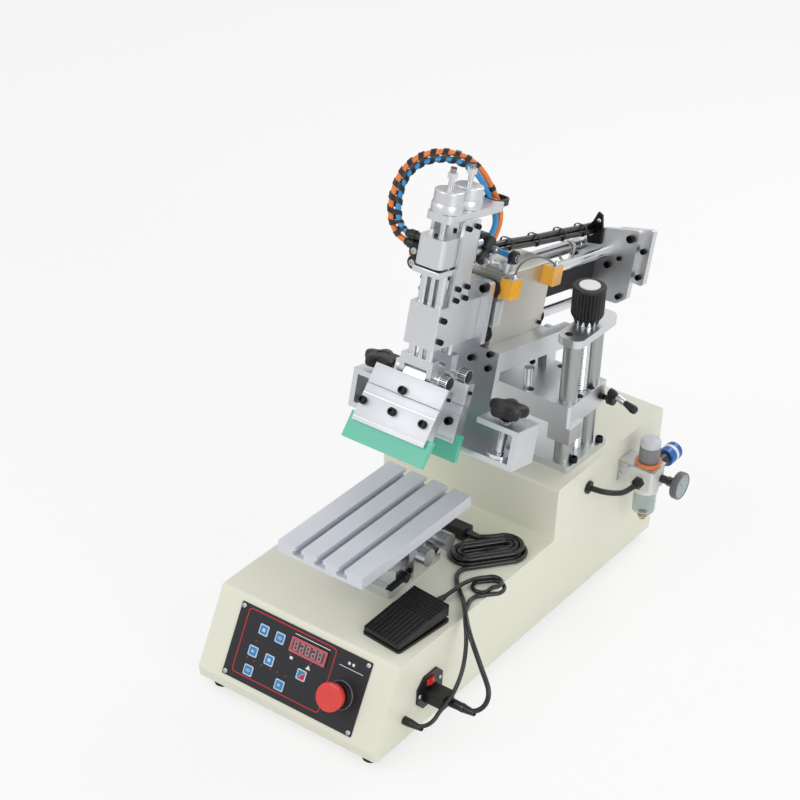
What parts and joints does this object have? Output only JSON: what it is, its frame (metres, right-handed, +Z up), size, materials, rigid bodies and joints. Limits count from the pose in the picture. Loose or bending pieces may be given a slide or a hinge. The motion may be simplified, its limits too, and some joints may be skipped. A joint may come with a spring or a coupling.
{
  "type": "tabletop screen printing press",
  "caption": "Tabletop screen printing press: sloped control cabinet, T-slot work table on an adjusting stage, screen clamp channel, sliding squeegee head on a lifting column, foot pedal.",
  "frame": {"origin": "the middle of the underside of the front left rubber foot, on the bench", "axes": "+Z up, +X to the machine's right as its operator sees it, +Y from the operator towards the column"},
  "size_m": [0.395, 0.7704, 0.7134],
  "materials": {
    "cream": "satin cream powder coat",
    "zinc_plate": "zinc plated",
    "foot_rubber": "matt",
    "panel_black": "matt membrane",
    "key_blue": "matt",
    "display_red": "smoked window",
    "stop_black": "satin",
    "stop_red": "gloss",
    "steel": "satin",
    "black_steel": "black oxide",
    "circuit_green": "lacquered",
    "black_plastic": "moulded",
    "switch_red": "clear red",
    "regulator_grey": "light grey",
    "bowl_clear": "clear",
    "gauge_black": "gloss",
    "valve_blue": "gloss",
    "tube_black": "satin",
    "aluminium": "clear anodised",
    "chrome": "polished",
    "knob_black": "moulded",
    "housing_beige": "satin",
    "sensor_orange": "gloss",
    "hose_orange": "satin",
    "blade_green": "satin",
    "cord_black": "satin"
  },
  "bodies": {
    "cabinet": {"cabinet_shell": "cream", "bottom_plate": "zinc_plate", "rubber_feet": "foot_rubber", "control_panel": "panel_black", "panel_keys": "key_blue", "digit_display": "display_red", "estop_base": "stop_black", "cabinet_fasteners": "steel", "inner_controls": "circuit_green", "power_inlet": "black_plastic", "regulator_body": "regulator_grey", "regulator_bracket": "zinc_plate", "filter_bowl": "bowl_clear", "pressure_gauge": "gauge_black", "air_line": "tube_black", "column_base": "aluminium", "column_posts": "chrome", "column_top_bar": "aluminium", "stage_base": "aluminium", "pedal_base": "black_plastic", "mains_hank": "cord_black", "mains_cord": "cord_black", "mains_plugs": "black_plastic", "pedal_hank": "cord_black", "pedal_cord": "cord_black"},
    "stop_button": {"estop_button": "stop_red"},
    "rocker": {"rocker_switch": "switch_red"},
    "air_knob": {"regulator_knob": "knob_black"},
    "hand_valve": {"valve_sleeve": "valve_blue"},
    "stage_y": {"stage_y_slide": "aluminium"},
    "lever": {"stage_lever": "black_steel"},
    "stage_x": {"stage_x_slide": "aluminium"},
    "x_knob": {"x_adjust_knob": "steel"},
    "turn": {"turn_plate": "aluminium", "t_slot_table": "aluminium"},
    "turn_knob": {"angle_adjust_knob": "steel"},
    "lift": {"lift_plate": "aluminium", "hinge_pin": "chrome"},
    "lift_screw": {"lift_knob": "knob_black"},
    "tilt": {"tilt_frame": "aluminium", "frame_channel": "aluminium", "beam_housing": "housing_beige", "proximity_sensors": "sensor_orange"},
    "clamp_left": {"clamp_pad_left": "chrome"},
    "clamp_right": {"clamp_pad_right": "chrome"},
    "star_left": {"clamp_knob_left": "knob_black"},
    "star_right": {"clamp_knob_right": "knob_black"},
    "carriage": {"guide_rods": "chrome", "stroke_cylinder": "steel", "end_plates": "aluminium", "head_tower": "aluminium", "head_cylinders": "aluminium", "head_hoses": "hose_orange"},
    "front_lift": {"front_slide": "aluminium"},
    "rear_lift": {"rear_slide": "aluminium"},
    "front_squeegee": {"front_holder": "aluminium", "front_blade": "blade_green"},
    "rear_squeegee": {"rear_holder": "aluminium", "rear_blade": "blade_green"},
    "treadle": {"pedal_treadle": "black_plastic"}
  },
  "joints": [
    {"name": "stop_press", "type": "slide", "parent": "cabinet", "child": "stop_button", "axis": [0, 0.9017, -0.4323], "range_m": [0, 0.005]},
    {"name": "rocker_tip", "type": "hinge", "parent": "cabinet", "child": "rocker", "pos_m": [0.2735, 0.0965, 0.0842], "axis": [0, 0, 1], "range_deg": [-10, 10]},
    {"name": "air_knob_turn", "type": "hinge", "parent": "cabinet", "child": "air_knob", "pos_m": [0.318, 0.5868, 0.225], "axis": [0, 0, 1], "continuous": true},
    {"name": "hand_valve_slide", "type": "slide", "parent": "cabinet", "child": "hand_valve", "axis": [0, -1, 0], "range_m": [0, 0.008]},
    {"name": "stage_y_slide", "type": "slide", "parent": "cabinet", "child": "stage_y", "axis": [0, 1, 0], "range_m": [-0.008, 0.008]},
    {"name": "lever_turn", "type": "hinge", "parent": "stage_y", "child": "lever", "pos_m": [0.19, 0.1658, 0.1707], "axis": [-1, 0, 0], "range_deg": [0, 45]},
    {"name": "stage_x_slide", "type": "slide", "parent": "stage_y", "child": "stage_x", "axis": [1, 0, 0], "range_m": [-0.008, 0.008]},
    {"name": "x_knob_turn", "type": "hinge", "parent": "stage_y", "child": "x_knob", "pos_m": [0.194, 0.1958, 0.194], "axis": [1, 0, 0], "continuous": true},
    {"name": "table_turn", "type": "hinge", "parent": "stage_x", "child": "turn", "pos_m": [0.128, 0.2018, 0.2], "axis": [0, 0, 1], "range_deg": [-5, 5]},
    {"name": "angle_knob_turn", "type": "hinge", "parent": "stage_x", "child": "turn_knob", "pos_m": [0.194, 0.2438, 0.194], "axis": [1, 0, 0], "continuous": true},
    {"name": "lift_slide", "type": "slide", "parent": "cabinet", "child": "lift", "axis": [0, 0, 1], "range_m": [-0.02, 0.03]},
    {"name": "lift_screw_turn", "type": "hinge", "parent": "cabinet", "child": "lift_screw", "pos_m": [0.24, 0.5008, 0.45], "axis": [0, 0, 1], "continuous": true},
    {"name": "head_tilt", "type": "hinge", "parent": "lift", "child": "tilt", "pos_m": [0.128, 0.5312, 0.3861], "axis": [1, 0, 0], "range_deg": [0, 12]},
    {"name": "clamp_left_slide", "type": "slide", "parent": "tilt", "child": "clamp_left", "axis": [0, 0.2079, 0.9781], "range_m": [0, 0.03]},
    {"name": "clamp_right_slide", "type": "slide", "parent": "tilt", "child": "clamp_right", "axis": [0, 0.2079, 0.9781], "range_m": [0, 0.03]},
    {"name": "star_left_turn", "type": "hinge", "parent": "clamp_left", "child": "star_left", "pos_m": [0.023, 0.32236, 0.3896], "axis": [0, 0.2079, 0.9781], "continuous": true},
    {"name": "star_right_turn", "type": "hinge", "parent": "clamp_right", "child": "star_right", "pos_m": [0.233, 0.32236, 0.3896], "axis": [0, 0.2079, 0.9781], "continuous": true},
    {"name": "print_stroke", "type": "slide", "parent": "tilt", "child": "carriage", "axis": [0, -0.9781, 0.2079], "range_m": [0, 0.13]},
    {"name": "front_unit_slide", "type": "slide", "parent": "carriage", "child": "front_lift", "axis": [0, -0.2079, -0.9781], "range_m": [0, 0.015]},
    {"name": "rear_unit_slide", "type": "slide", "parent": "carriage", "child": "rear_lift", "axis": [0, -0.2079, -0.9781], "range_m": [0, 0.015]},
    {"name": "front_blade_angle", "type": "hinge", "parent": "front_lift", "child": "front_squeegee", "pos_m": [0.128, 0.25405, 0.43376], "axis": [1, 0, 0], "range_deg": [-2, 2]},
    {"name": "rear_blade_angle", "type": "hinge", "parent": "rear_lift", "child": "rear_squeegee", "pos_m": [0.128, 0.30003, 0.42399], "axis": [1, 0, 0], "range_deg": [-2, 2]},
    {"name": "treadle_press", "type": "hinge", "parent": "cabinet", "child": "treadle", "pos_m": [0.2266, 0.0521, 0.1504], "axis": [-0.9945, 0.1045, 0], "range_deg": [0, 3], "stiffness_Nm_per_rad": 2, "springref_deg": -5.73}
  ],
  "couplings": [
    {"joint": "x_knob_turn", "follows": "stage_x_slide", "rad_per_m": 1256.6},
    {"joint": "angle_knob_turn", "follows": "table_turn", "ratio": 141},
    {"joint": "lift_screw_turn", "follows": "lift_slide", "rad_per_m": 785.4},
    {"joint": "star_left_turn", "follows": "clamp_left_slide", "rad_per_m": 628.3},
    {"joint": "star_right_turn", "follows": "clamp_right_slide", "rad_per_m": 628.3}
  ]
}
